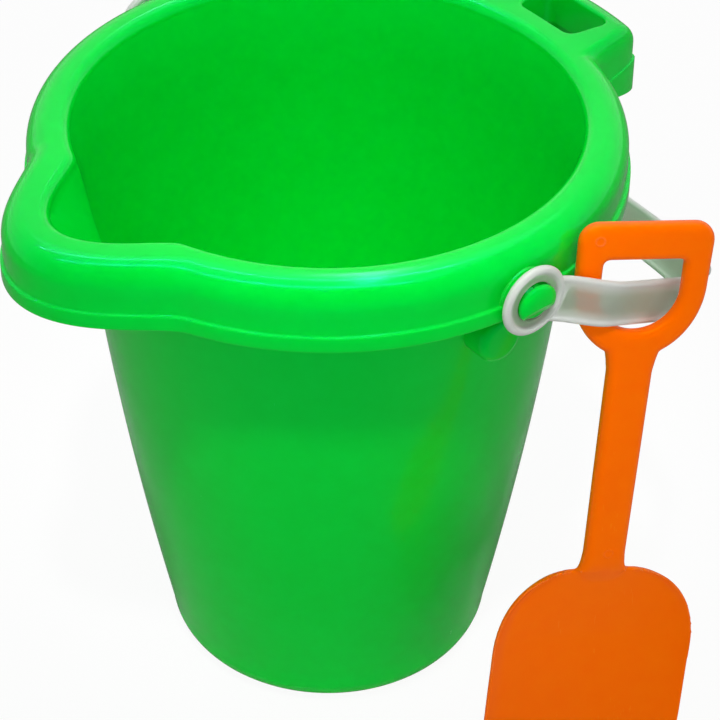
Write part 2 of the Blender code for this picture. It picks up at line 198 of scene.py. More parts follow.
def object_from(bm, name, merge=0.0):
    if merge:
        bmesh.ops.remove_doubles(bm, verts=bm.verts, dist=merge)
    bmesh.ops.recalc_face_normals(bm, faces=bm.faces)
    mesh = bpy.data.meshes.new(name)
    bm.to_mesh(mesh)
    bm.free()
    obj = bpy.data.objects.new(name, mesh)
    bpy.context.scene.collection.objects.link(obj)
    return obj


def boolean(target, tool, operation):
    modifier = target.modifiers.new(tool.name, "BOOLEAN")
    modifier.operation = operation
    modifier.object = tool
    modifier.solver = "EXACT"


def bake(obj, tools=()):
    """Applies the modifiers, removes the tools, and leaves one plain mesh."""
    bpy.context.view_layer.update()
    graph = bpy.context.evaluated_depsgraph_get()
    mesh = bpy.data.meshes.new_from_object(obj.evaluated_get(graph))
    obj.modifiers.clear()
    obj.data = mesh
    for tool in tools:
        bpy.data.objects.remove(tool)
    return obj


def shade(obj, angle=30):
    obj.data.shade_smooth()
    obj.data.set_sharp_from_angle(angle=math.radians(angle))


def turned_y(profile, name, side, z, steps=96, x=0.0, squash=1.0):
    """A turned solid about a line along Y. The profile holds (radius, distance along Y) points."""
    bm = bmesh.new()
    rings = []
    for i in range(steps):
        a = 2 * math.pi * i / steps
        rings.append(
            [
                bm.verts.new(((x + r * math.cos(a)) * MM, side * y * MM, (z + squash * r * math.sin(a)) * MM))
                for r, y in profile
            ]
        )
    for i in range(steps):
        ring, following = rings[i], rings[(i + 1) % steps]
        for k in range(len(profile)):
            n = (k + 1) % len(profile)
            if profile[k][0] > 0 or profile[n][0] > 0:
                bm.faces.new((ring[k], ring[n], following[n], following[k]))
    return object_from(bm, name, merge=1e-6)


# --- Bucket body ------------------------------------------------------------------------------


def bump(angle, half, fullness):
    if abs(angle) >= half:
        return 0.0
    return (0.5 + 0.5 * math.cos(math.pi * angle / half)) ** fullness


def plateau(angle, flat, half):
    share = min(max((half - abs(angle)) / (half - flat), 0.0), 1.0)
    return share * share * (3 - 2 * share)


def wall_r(z):
    foot = HEIGHT - BAND_DROP
    share = (foot - z) / foot
    if share >= 0:
        return WALL_TOP_R + (WALL_FOOT_R - WALL_TOP_R) * share + WALL_BELLY * 4 * share * (1 - share)
    rise = (z - foot) / BAND_DROP
    draft = (WALL_TOP_R - WALL_FOOT_R - 4 * WALL_BELLY) / foot
    return WALL_TOP_R + draft * (z - foot) + RIM_FLARE * rise * rise


def eased(share):
    """Rises from 0 to 1 with a softened start, so that the pocket's crease is rounded."""
    k = CREASE_SOFTNESS
    top = math.sqrt(1 + k * k) - k
    return (math.sqrt(share * share + k * k) - k) / top


def section(theta):
    """The bucket's closed section at an azimuth in degrees, from the floor's centre out and round."""
    from_spout = theta % 360 - 180
    from_grip = (theta + 180) % 360 - 180
    out = SPOUT_OUT * bump(from_spout, SPOUT_HALF, SPOUT_FULLNESS)
    inward = SPOUT_IN * bump(from_spout, SPOUT_IN_HALF, SPOUT_FULLNESS)
    grip = plateau(from_grip, GRIP_FLAT_HALF, GRIP_HALF)
    out += GRIP_OUT * grip
    step_z = HEIGHT - STEP_DROP + (STEP_DROP - GRIP_STEP_DROP) * grip
    band_z = HEIGHT - BAND_DROP + (BAND_DROP - GRIP_BAND_DROP) * grip
    across = min(abs(from_spout) / SPOUT_IN_HALF, 1.0)
    crease_z = HEIGHT - CREASE_TOP - (CREASE_DEPTH - CREASE_TOP) * math.sqrt(1 - across * across)
    lip_z = HEIGHT - LIP_ROUND
    low = BASE_FILLET

    def wall_point(z, offset):
        share = min(max((z - crease_z) / (lip_z - crease_z), 0.0), 1.0)
        return (wall_r(z) - offset + inward * eased(share), z)

    heights = [low + (crease_z - low) * i / 28 for i in range(29)]
    heights += [crease_z + (lip_z - crease_z) * (i / 16) ** 1.4 for i in range(1, 17)]
    inner = [wall_point(z, WALL) for z in heights]
    outer = [wall_point(z, 0) for z in reversed(heights)]

    fillet_r = wall_r(low) - BASE_FILLET
    inner_fillet = BASE_FILLET - FLOOR_TOP
    inner_c = fillet_r + BASE_FILLET - WALL - inner_fillet
    points = [(inner_c * share, FLOOR_TOP) for share in (0.25, 0.5, 0.75)]
    points += arc(inner_c, low, inner_fillet, -90, -6, 9)
    points += inner
    points += arc(inner[-1][0] + LIP_ROUND, lip_z, LIP_ROUND, 170, 90, 8)
    shoulder_r = RIM_R - SHOULDER + out
    points += arc(shoulder_r, HEIGHT - SHOULDER, SHOULDER, 90, 0, 14)
    face_r = RIM_R + out
    band_r = face_r + BAND_STEP
    ledge = BAND_STEP / 2
    points += [(face_r, (step_z + HEIGHT - SHOULDER) / 2), (face_r, step_z + ledge)]
    points += arc(face_r + ledge, step_z + ledge, ledge, 195, 270, 4)
    points += arc(band_r - ledge, step_z - ledge, ledge, 75, 0, 4)
    points += [(band_r, (step_z + band_z) / 2)]
    points += arc(band_r - BAND_ROUND, band_z + BAND_ROUND, BAND_ROUND, 0, -90, 4)
    points += arc(band_r - WALL + 0.4, band_z + 0.4, 0.4, -90, -180, 3)
    points += [(band_r - WALL, step_z - 2.0), (face_r - WALL, step_z - 1.0)]
    points += arc(shoulder_r, HEIGHT - SHOULDER, SHOULDER - WALL, 0, 90, 8)
    points += [(outer[0][0] + 1.6, HEIGHT - WALL), (outer[0][0] + 0.5, HEIGHT - WALL - 0.5)]
    points += outer
    points += arc(fillet_r, low, BASE_FILLET, -8, -74, 9)
    points += arc(FOOT_OUT_R - 1.0, 1.0, 1.0, -60, -90, 2)
    points += arc(FOOT_IN_R + 0.6, 0.6, 0.6, -90, -180, 3)
    points += [(FOOT_IN_R - 0.4, FOOT_RECESS), (PAD_R + 0.8, FOOT_RECESS)]
    return points + arc(PAD_R - 0.6, 0.6, 0.6, 0, -90, 3)


def azimuths():
    angles = [0.0]
    while angles[-1] < 359.99:
        a = angles[-1]
        near_grip = a < 19 or a >= 341
        near_spout = 150 <= a < 210
        angles.append(a + (0.5 if near_grip else 1.0 if near_spout else 2.0))
    return angles[:-1]


def ring_mesh(sections, bottom_z, top_z):
    bm = bmesh.new()
    rings = []
    for theta, points in sections:
        a = math.radians(theta)
        rings.append([bm.verts.new((r * math.cos(a) * MM, r * math.sin(a) * MM, z * MM)) for r, z in points])
    start = bm.verts.new((0, 0, top_z * MM))
    end = bm.verts.new((0, 0, bottom_z * MM))
    for i, ring in enumerate(rings):
        following = rings[(i + 1) % len(rings)]
        bm.faces.new((start, following[0], ring[0]))
        bm.faces.new((end, ring[-1], following[-1]))
        for k in range(len(ring) - 1):
            bm.faces.new((ring[k], following[k], following[k + 1], ring[k + 1]))
    return bm


def slot_outline(grow):
    mid_r = (SLOT_IN_R + SLOT_OUT_R) / 2
    half_r = (SLOT_OUT_R - SLOT_IN_R) / 2 + grow
    half_t = math.radians(SLOT_HALF) * mid_r + grow
    corner = SLOT_CORNER + grow
    outline = []
    for cr, ct, first in ((1, 1, 0), (-1, 1, 90), (-1, -1, 180), (1, -1, 270)):
        for i in range(11):
            a = math.radians(first + 90 * i / 10)
            r = mid_r + cr * (half_r - corner) + corner * math.cos(a)
            t = ct * (half_t - corner) + corner * math.sin(a)
            outline.append((r, math.degrees(t / mid_r)))
    return outline


def slot_prism(layers, name):
    """A closed prism through outlines at several heights. The layers hold (growth, height)."""
    bm = bmesh.new()
    loops = []
    for grow, z in layers:
        loop = []
        for r, t in slot_outline(grow):
            a = math.radians(t)
            loop.append(bm.verts.new((r * math.cos(a) * MM, r * math.sin(a) * MM, z * MM)))
        loops.append(loop)
    count = len(loops[0])
    for lower, upper in zip(loops, loops[1:]):
        for i in range(count):
            k = (i + 1) % count
            bm.faces.new((lower[i], lower[k], upper[k], upper[i]))
    bm.faces.new(loops[0][::-1])
    bm.faces.new(loops[-1])
    return object_from(bm, name)


def stud_profile():
    profile = [(0, 105.8), (BOSS_R + 1.6, RIM_R - 1.4)]
    for a in (0.2, 0.6, 1.0, 1.4):
        profile.append((BOSS_R + 1.2 - 1.2 * math.sin(a), RIM_R + 1.5 - 1.2 * math.cos(a)))
    profile += [(BOSS_R, BOSS_FACE - 0.5), (BOSS_R - 0.15, BOSS_FACE - 0.15), (BOSS_R - 0.5, BOSS_FACE)]
    return profile + [(SHANK_R, BOSS_FACE), (SHANK_R, HEAD_IN + 0.5), (0, HEAD_IN + 0.5)]


def stud_head(name, side):
    """The stud's flattened domed head. Its lower third is a flat facet that faces out and down."""
    profile = [(0, HEAD_IN), (HEAD_R - 0.3, HEAD_IN), (HEAD_R, HEAD_IN + 0.3)]
    dome = HEAD_FACE - HEAD_IN - 0.9
    for i in range(1, 15):
        a = math.pi / 2 * i / 14
        profile.append((HEAD_R * math.cos(a) ** 0.75 if i < 14 else 0.0, HEAD_IN + 0.9 + dome * math.sin(a)))
    head = turned_y(profile, name, side, PIVOT_Z, squash=HEAD_SQUASH)
    bm = bmesh.new()
    bm.from_mesh(head.data)
    normal = (HEAD_FACET[0], -side * HEAD_FACET[1], HEAD_FACET[2])
    edge = (0, side * (HEAD_FACE - 0.5) * MM, (PIVOT_Z - 1.4) * MM)
    geom = bm.verts[:] + bm.edges[:] + bm.faces[:]
    cut = bmesh.ops.bisect_plane(bm, geom=geom, plane_co=edge, plane_no=normal, clear_outer=True)
    rim = [g for g in cut["geom_cut"] if isinstance(g, bmesh.types.BMEdge)]
    bmesh.ops.contextual_create(bm, geom=rim)
    bm.to_mesh(head.data)
    bm.free()
    return head


def build_bucket():
    sections = [(theta, section(theta)) for theta in azimuths()]
    bucket = object_from(ring_mesh(sections, 0.0, FLOOR_TOP), "bucket")
    tools = []
    collar = slot_prism([(WALL, HEIGHT - COLLAR_DEPTH), (WALL, HEIGHT - 0.7)], "slot_collar")
    boolean(bucket, collar, "UNION")
    tools.append(collar)
    layers = [(0.0, HEIGHT - 60)]
    for i in range(7):
        a = math.pi / 2 * i / 6
        layers.append((SLOT_ROUND * (1 - math.cos(a)), HEIGHT - SLOT_ROUND + SLOT_ROUND * math.sin(a)))
    layers.append((SLOT_ROUND + 2, HEIGHT + 2))
    slot = slot_prism(layers, "slot_cut")
    boolean(bucket, slot, "DIFFERENCE")
    tools.append(slot)
    for side, tag in ((-1, "near"), (1, "far")):
        stud = turned_y(stud_profile(), f"stud_{tag}", side, PIVOT_Z)
        boolean(bucket, stud, "UNION")
        head = stud_head(f"head_{tag}", side)
        boolean(bucket, head, "UNION")
        soft = LUG_SOFTNESS
        lug = [(0, LUG_ROOT), (LUG_R, LUG_ROOT)]
        for i in range(9):
            a = math.pi / 2 * i / 8
            lug.append((LUG_R - soft + soft * math.cos(a), LUG_FACE - soft + soft * math.sin(a)))
        lug += [(0, LUG_FACE)]
        lug_tool = turned_y(lug, f"lug_{tag}", side, HEIGHT - LUG_DROP)
        boolean(bucket, lug_tool, "UNION")
        tools += [stud, head, lug_tool]
    bake(bucket, tools)
    shade(bucket, 32)
    return bucket


# --- Strap handle -----------------------------------------------------------------------------


def strap_path():
    half = []
    for i in range(24):
        s = STRAP_START + (STRAP_BOW_AT - STRAP_START) * i / 24
        lift = 0.5 - 0.5 * math.cos(math.pi * i / 24)
        half.append((s, STRAP_PIVOT_Y + (STRAP_BOW_Y - STRAP_PIVOT_Y) * lift))
    power = 2 / STRAP_SQUARENESS
    for i in range(61):
        a = math.pi / 2 * i / 60
        s = STRAP_BOW_AT + (STRAP_REACH - STRAP_BOW_AT) * math.sin(a) ** power
        half.append((s, STRAP_BOW_Y * math.cos(a) ** power if i < 60 else 0.0))
    return [(s, -y) for s, y in half] + [(s, y) for s, y in reversed(half[:-1])]


def strap_section():
    web, edge = STRAP_WEB / 2, STRAP_WIDTH / 2
    bead_at = edge - BEAD_R
    bead = []
    for i in range(13):
        a = math.radians(-42 + 264 * i / 12)
        bead.append((BEAD_R * math.cos(a), bead_at + BEAD_R * math.sin(a)))
    foot = bead_at - BEAD_R * 1.25
    points = [(web, foot * 0.5), (web, foot)] + bead + [(-web, foot), (-web, foot * 0.5)]
    return points + [(-x, -w) for x, w in points]


def eye_profile():
    mid, thick, web = STRAP_PIVOT_Y, EYE_BEAD / 2, STRAP_WEB / 2 + 0.1
    ring_c = EYE_R - thick
    profile = [(EYE_HOLE_R + 0.3, mid - web), (ring_c - thick - 0.5, mid - web)]
    for i in range(15):
        a = math.radians(215 + 290 * i / 14)
        profile.append((ring_c + thick * math.cos(a), mid + thick * math.sin(a)))
    profile += [(ring_c - thick - 0.5, mid + web), (EYE_HOLE_R + 0.3, mid + web)]
    return profile + [(EYE_HOLE_R, mid + web - 0.3), (EYE_HOLE_R, mid - web + 0.3)]


def strap_rise(s):
    """How far the strap's middle stands above its plane at a distance from the pivot line."""
    share = s / STRAP_REACH
    return STRAP_ARCH * max(4 * share * (1 - share), 0.0) ** STRAP_ARCH_POWER


def mark_beads(handle):
    """Stores how thick the plastic is at each point: 1 on the beads, 0 on the webs."""
    thick = handle.data.attributes.new("thick", "FLOAT", "POINT")
    for i, v in enumerate(handle.data.vertices):
        s, y, w = (c / MM for c in v.co)
        from_pivot = math.hypot(s, w)
        if from_pivot < EYE_R + 0.4 and abs(abs(y) - STRAP_PIVOT_Y) < EYE_DEPTH:
            share = (from_pivot - (EYE_R - EYE_BEAD - 0.6)) / EYE_BEAD_FADE
        else:
            share = (abs(w - strap_rise(s)) - (STRAP_WIDTH / 2 - 2 * BEAD_R - BEAD_FADE)) / BEAD_FADE
        thick.data[i].value = min(max(share, 0.0), 1.0)


def build_handle():
    """The strap swept along its path, with an eye and a small moulding ring at each end."""
    bm = bmesh.new()
    path, outline = strap_path(), strap_section()
    loops = []
    for i, (s, y) in enumerate(path):
        before, after = path[max(i - 1, 0)], path[min(i + 1, len(path) - 1)]
        along = Vector((after[0] - before[0], after[1] - before[1])).normalized()
        side = Vector((along.y, -along.x))
        rise = strap_rise(s)
        loop = []
        for t, w in outline:
            loop.append(bm.verts.new(((s + side.x * t) * MM, (y + side.y * t) * MM, (w + rise) * MM)))
        loops.append(loop)
    count = len(outline)
    for first, second in zip(loops, loops[1:]):
        for k in range(count):
            n = (k + 1) % count
            bm.faces.new((first[k], first[n], second[n], second[k]))
    bm.faces.new(loops[0])
    bm.faces.new(loops[-1][::-1])
    handle = object_from(bm, "handle")
    tools = []
    for side, tag in ((-1, "near"), (1, "far")):
        eye = turned_y(eye_profile(), f"eye_{tag}", side, 0.0)
        boolean(handle, eye, "UNION")
        hole = [(0, STRAP_PIVOT_Y - 8), (EYE_HOLE_R, STRAP_PIVOT_Y - 8), (EYE_HOLE_R, STRAP_PIVOT_Y + 8)]
        hole_tool = turned_y(hole + [(0, STRAP_PIVOT_Y + 8)], f"hole_{tag}", side, 0.0)
        boolean(handle, hole_tool, "DIFFERENCE")
        tools += [eye, hole_tool]
    for side, tag in ((-1, "near"), (1, "far")):
        root, crest = STRAP_PIVOT_Y + 1.0, STRAP_PIVOT_Y + 1.5
        mark = [(2.0, root - 1.2), (2.0, crest - 0.1), (2.15, crest + 0.05), (2.45, crest + 0.05)]
        mark += [(2.6, crest - 0.1), (2.6, root - 1.2)]
        mark_tool = turned_y(mark, f"gate_mark_{tag}", side, GATE_MARK_UP, steps=48, x=GATE_MARK_AT)
        boolean(handle, mark_tool, "UNION")
        tools.append(mark_tool)
    bake(handle, tools)
    mark_beads(handle)
    turn = Matrix.Rotation(math.radians(STRAP_BELOW_LEVEL), 4, "Y")
    handle.data.transform(Matrix.Translation((0, 0, PIVOT_Z * MM)) @ turn)
    shade(handle, 40)
    return handle


# --- Spade ------------------------------------------------------------------------------------


def d_outline():
    """Outer edge of the D grip and the shaft, as (across, down) points in the spade's plane."""
    half = D_WIDTH / 2
    points = []
    for i in range(13):
        a = math.radians(90 * i / 12)
        points.append((half - D_CORNER + D_CORNER * math.sin(a), D_TOP + D_CORNER - D_CORNER * math.cos(a)))
    bowl = D_DROP - D_BOWL_AT - D_BOWL_SAG
    for i in range(24):
        a = math.radians(D_BOWL_END * i / 23)
        points.append((half * math.cos(a) * D_BOWL_TAPER, D_BOWL_AT + bowl * math.sin(a)))
    points.append((SHAFT_WIDTH_TOP / 2 + 0.6, D_DROP))
    points.append((SHAFT_WIDTH_TOP / 2, D_DROP + 4))
    points.append((SHAFT_WIDTH_FOOT / 2, BLADE_TOP - 7))
    points.append((SHAFT_WIDTH_FOOT / 2 + 0.4, BLADE_TOP - 3))
    points.append((SHAFT_WIDTH_FOOT / 2 + 1.4, BLADE_TOP + 1))
    points.append((SHAFT_WIDTH_FOOT / 2 - 0.4, BLADE_TOP + 5))
    points.append((SHAFT_WIDTH_FOOT / 2 - 4.4, BLADE_TOP + 9.5))
    points.append((1.6, BLADE_TOP + 12))
    return points + [(-x, y) for x, y in reversed(points)]


def opening_outline():
    """The D grip's opening: straight at the bar, round below."""
    points = []
    for i in range(7):
        a = math.radians(90 * i / 6)
        across = OPENING_HALF - OPENING_CORNER + OPENING_CORNER * math.sin(a)
        points.append((across, OPENING_TOP + OPENING_CORNER - OPENING_CORNER * math.cos(a)))
    for i in range(25):
        a = math.radians(90 * i / 24)
        points.append((OPENING_HALF * math.cos(a), OPENING_CENTRE + OPENING_HALF * math.sin(a)))
    return points + [(-x, y) for x, y in reversed(points[:-1])]


def flat_solid(name, outlines, thick, round_edge):
    """A flat piece cut from the outlines, with rounded edges, standing in the local XZ plane."""
    curve = bpy.data.curves.new(name, "CURVE")
    curve.dimensions = "2D"
    curve.fill_mode = "BOTH"
    for outline in outlines:
        spline = curve.splines.new("POLY")
        spline.points.add(len(outline) - 1)
        for p, (x, y) in zip(spline.points, outline):
            p.co = (x * MM, -y * MM, 0, 1)
        spline.use_cyclic_u = True
    curve.extrude = (thick / 2 - round_edge) * MM
    curve.bevel_depth = round_edge * MM
    curve.bevel_resolution = 5
    curve.offset = -round_edge * MM
    source = bpy.data.objects.new(name, curve)
    bpy.context.scene.collection.objects.link(source)
    bpy.context.view_layer.update()
    graph = bpy.context.evaluated_depsgraph_get()
    mesh = bpy.data.meshes.new_from_object(source.evaluated_get(graph))
    bpy.data.objects.remove(source)
    bm = bmesh.new()
    bm.from_mesh(mesh)
    bmesh.ops.rotate(bm, verts=bm.verts, matrix=Matrix.Rotation(math.radians(90), 3, "X"))
    return object_from(bm, name, merge=1e-6)


def blade_half_width(down):
    """Half the blade's width at a distance below the grip bar."""
    share = min(max((down - BLADE_TOP) / (BLADE_TIP - BLADE_TOP), 0.0), 1.0)
    along = min(max((down - BLADE_TOP) / BLADE_SHOULDER, 0.0), 1.0)
    shoulder = (1 - (1 - along) ** BLADE_SQUARENESS) ** (1 / BLADE_SQUARENESS)
    tip = math.sqrt(max(1 - max((share - BLADE_TIP_FROM) / (1 - BLADE_TIP_FROM), 0.0) ** 2.4, 0.0))
    return (BLADE_NECK + (BLADE_WIDTH / 2 - BLADE_NECK) * shoulder) * tip


def blade_sag(down):
    """How far the blade's middle is dished back at a distance below the grip bar."""
    return BLADE_DISH * min(max((down - BLADE_TOP) / BLADE_DISH_LENGTH, 0.0), 1.0) ** 0.7


def blade_mesh():
    """The dished blade: a fine grid of points on its front and back, closed round the edge."""
    bm = bmesh.new()
    rows, columns = 120, 64
    sheets = ([], [])
    for i in range(rows + 1):
        share = 0.5 - 0.5 * math.cos(math.pi * i / rows)
        down = BLADE_TOP + (BLADE_TIP - 0.1 - BLADE_TOP) * share
        half = max(blade_half_width(down), 2.0)
        pair = ([], [])
        for k in range(columns + 1):
            across = math.sin(math.pi * (k / columns - 0.5))
            x = half * across
            middle = (x / (BLADE_WIDTH / 2)) ** 2
            y = blade_sag(down) * (1 - middle)
            edge = max((abs(across) - 0.86) / 0.14, 0.0) ** 1.6
            fade = max(1 - (down - BLADE_TOP) / 90, 0.0)
            y -= BLADE_LIP * edge * (0.25 + 0.75 * fade * fade)
            for row, offset in zip(pair, (-BLADE_THICK / 2, BLADE_THICK / 2)):
                row.append(bm.verts.new((x * MM, (y + offset) * MM, -down * MM)))
        sheets[0].append(pair[0])
        sheets[1].append(pair[1])
    front, back = sheets
    for i in range(rows):
        for k in range(columns):
            bm.faces.new((front[i][k], front[i][k + 1], front[i + 1][k + 1], front[i + 1][k]))
            bm.faces.new((back[i][k], back[i + 1][k], back[i + 1][k + 1], back[i][k + 1]))
        bm.faces.new((front[i][0], front[i + 1][0], back[i + 1][0], back[i][0]))
        bm.faces.new((front[i][-1], back[i][-1], back[i + 1][-1], front[i + 1][-1]))
    for k in range(columns):
        bm.faces.new((front[0][k], back[0][k], back[0][k + 1], front[0][k + 1]))
        bm.faces.new((front[-1][k], front[-1][k + 1], back[-1][k + 1], back[-1][k]))
    return object_from(bm, "blade")


def thin_foot(spade):
    """Tapers the shaft's foot, so that it sinks into the blade."""
    bm = bmesh.new()
    bm.from_mesh(spade.data)
    stretch = [e for e in bm.edges if min(v.co.z for v in e.verts) < -(BLADE_TOP - 20) * MM]
    bmesh.ops.subdivide_edges(bm, edges=stretch, cuts=6, use_grid_fill=False)
    for v in bm.verts:
        share = min(max((-v.co.z / MM - (BLADE_TOP - 6)) / 18, 0.0), 1.0)
        v.co.y *= 1 - 0.72 * share * share * (3 - 2 * share)
        v.co.y += (blade_sag(-v.co.z / MM) + 0.7 * share) * MM
    bm.to_mesh(spade.data)
    bm.free()


def raise_ring(spade, x, down):
    """Raises a small ejector ring on the spade's front face, at a place in its plane."""
    bm = bmesh.new()
    bm.from_mesh(spade.data)
    centre = Vector((x * MM, -down * MM))

    def from_centre(v):
        return (Vector((v.co.x, v.co.z)) - centre).length / MM

    near = [e for e in bm.edges if all(v.co.y < 0 and from_centre(v) < MARK_R + 1.5 for v in e.verts)]
    bmesh.ops.subdivide_edges(bm, edges=near, cuts=4, use_grid_fill=True)
    for v in bm.verts:
        if v.co.y < 0:
            share = max(1 - abs(from_centre(v) - MARK_R) / MARK_LINE, 0.0)
            v.co.y -= MARK_RISE * share * share * (3 - 2 * share) * MM
    bm.to_mesh(spade.data)
    bm.free()


def build_spade():
    """The D grip with its shaft, and the blade, fused into one shell by a fine remesh."""
    spade = flat_solid("spade_scoop", [d_outline(), opening_outline()], SPADE_THICK, SPADE_ROUND)
    blade = blade_mesh()
    thin_foot(spade)
    joined = bmesh.new()
    joined.from_mesh(spade.data)
    joined.from_mesh(blade.data)
    joined.to_mesh(spade.data)
    joined.free()
    remesh = spade.modifiers.new("even", "REMESH")
    remesh.mode = "VOXEL"
    remesh.voxel_size = 0.6 * MM
    smooth = spade.modifiers.new("soften", "SMOOTH")
    smooth.factor = 0.5
    smooth.iterations = 9
    bake(spade, [blade])
    for x, down in EJECTOR_MARKS:
        raise_ring(spade, x, down)
    lean = Matrix.Rotation(math.radians(SPADE_LEAN), 4, "X")
    dip = Matrix.Rotation(math.radians(SPADE_DIP), 4, "Y")
    turn = Matrix.Rotation(math.radians(SPADE_TURN), 4, "Z")
    spin = turn @ dip @ lean
    spade.data.transform(Matrix.Translation(Vector(SPADE_AT) * MM) @ spin)
    spade.data.shade_smooth()
    return spade


# --- Materials --------------------------------------------------------------------------------


class Nodes:
    """Builds a node tree in a few words."""

    def __init__(self, tree):
        self.tree = tree

    def add(self, kind, inputs=(), **settings):
        node = self.tree.nodes.new(kind)
        for key, value in settings.items():
            setattr(node, key, value)
        for key, value in dict(inputs).items():
            if isinstance(value, bpy.types.NodeSocket):
                self.tree.links.new(value, node.inputs[key])
            else:
                node.inputs[key].default_value = value
        return node

    def noise(self, where, scale, detail=3.0, rough=0.5):
        inputs = {"Vector": where, "Scale": scale, "Detail": detail, "Roughness": rough}
        return self.add("ShaderNodeTexNoise", inputs)

    def math(self, operation, *values):
        return self.add("ShaderNodeMath", dict(enumerate(values)), operation=operation).outputs[0]

    def spread(self, value, low, high, to_low=0.0, to_high=1.0):
        """Maps a value's range low..high to to_low..to_high, clamped."""
        inputs = {"Value": value, "From Min": low, "From Max": high, "To Min": to_low, "To Max": to_high}
        return self.add("ShaderNodeMapRange", inputs).outputs["Result"]


def worn_and_highlit_edges(n, fine):
    """How worn and painted-lit each point is: 0 on faces, up to 1 along edges, broken up by a fine pattern.
    It dulls the edges as wear, and in the colour it pales them as a painted highlight.
    """
    rounded = n.add("ShaderNodeBevel", {"Radius": WEAR_AND_HIGHLIGHT_RADIUS}, samples=4).outputs[0]
    normal = n.add("ShaderNodeNewGeometry").outputs["Normal"]
    aligned = n.add("ShaderNodeVectorMath", {0: rounded, 1: normal}, operation="DOT_PRODUCT")
    return n.math("MULTIPLY", n.spread(aligned.outputs["Value"], 0.995, 0.93), fine)


def plastic_roughness(n, where, rough, wear_and_highlight):
    """Flow marks along the mould's pull, scuffs in rubbed patches, and duller edges."""
    flow_at = n.add("ShaderNodeMapping", {"Vector": where, "Scale": (1.0, 1.0, 0.12)}).outputs["Vector"]
    stretch = {"Vector": where, "Scale": (1.0, 1.0, 0.05), "Rotation": (0.5, 0.3, 0.2)}
    scuff_at = n.add("ShaderNodeMapping", stretch).outputs["Vector"]
    scuffs = n.spread(n.noise(scuff_at, 900.0, 2.0, 0.7).outputs["Fac"], 0.62, 0.78)
    patches = n.spread(n.noise(where, 22.0, 3.0).outputs["Fac"], 0.52, 0.7)
    rubbed = n.math("MULTIPLY", scuffs, patches)
    base = n.spread(n.noise(flow_at, 60.0, 3.0).outputs["Fac"], 0.3, 0.7, rough * 0.85, rough * 1.15)
    scuffed = n.math("MULTIPLY_ADD", rubbed, 0.16, base)
    return n.math("MULTIPLY_ADD", wear_and_highlight, 0.15, scuffed)


def plastic_relief(n, where):
    """Orange peel over slow sink marks."""
    peel = n.noise(where, 420.0, 2.0).outputs["Fac"]
    sink = n.noise(where, 38.0, 1.0).outputs["Fac"]
    height = n.math("MULTIPLY_ADD", sink, 6.0, peel)
    return n.add("ShaderNodeBump", {"Height": height, "Strength": 0.35, "Distance": RELIEF_DEPTH})


def moulded_plastic(name, deep, pale, tint, rough, subsurface, scatter, painted_glow=0.0):
    """Injection-moulded plastic, drifting between two colours, with pale edges that are partly wear and
    partly a painted highlight.

    The painted glow is a weak emission of the plastic's own colour. It is painted light that makes the part
    look more brightly lit, though the part is no lamp.
    """
    material = bpy.data.materials.new(name)
    material.use_nodes = True
    tree = material.node_tree
    shader = tree.nodes["Principled BSDF"]
    n = Nodes(tree)
    where = n.add("ShaderNodeTexCoord").outputs["Object"]
    drift = n.spread(n.noise(where, 9.0, 2.0).outputs["Fac"], 0.35, 0.65)
    fine = n.spread(n.noise(where, 120.0, 4.0, 0.6).outputs["Fac"], 0.3, 0.7)
    amount = n.math("MULTIPLY", n.math("ADD", drift, fine), 0.5)
    mix = n.add("ShaderNodeMix", {"Factor": amount}, data_type="RGBA")
    mix.inputs["A"].default_value = (*deep, 1)
    mix.inputs["B"].default_value = (*pale, 1)
    wear_and_highlight = worn_and_highlit_edges(n, fine)
    # pale edges: partly wear, partly a painted highlight, as of light caught along the rounded edges
    wear_and_highlight_mix = n.add("ShaderNodeMix", {"Factor": n.math("MULTIPLY", wear_and_highlight, 0.35)}, data_type="RGBA")
    tree.links.new(mix.outputs["Result"], wear_and_highlight_mix.inputs["A"])
    wear_and_highlight_mix.inputs["B"].default_value = (*(0.8 * c + 0.2 for c in pale), 1)
    tree.links.new(wear_and_highlight_mix.outputs["Result"], shader.inputs["Base Color"])
    tree.links.new(plastic_roughness(n, where, rough, wear_and_highlight), shader.inputs["Roughness"])
    tree.links.new(plastic_relief(n, where).outputs["Normal"], shader.inputs["Normal"])
    # painted glow: an emission in the plastic's own colour that brightens it like extra light
    if painted_glow:
        tree.links.new(mix.outputs["Result"], shader.inputs["Emission Color"])
        shader.inputs["Emission Strength"].default_value = painted_glow
    shader.inputs["Specular Tint"].default_value = (*tint, 1)
    shader.inputs["IOR"].default_value = 1.49
    shader.inputs["Specular IOR Level"].default_value = 0.65
    shader.inputs["Subsurface Weight"].default_value = subsurface
    shader.inputs["Subsurface Radius"].default_value = scatter
    shader.inputs["Subsurface Scale"].default_value = SCATTER_DEPTH
    return material


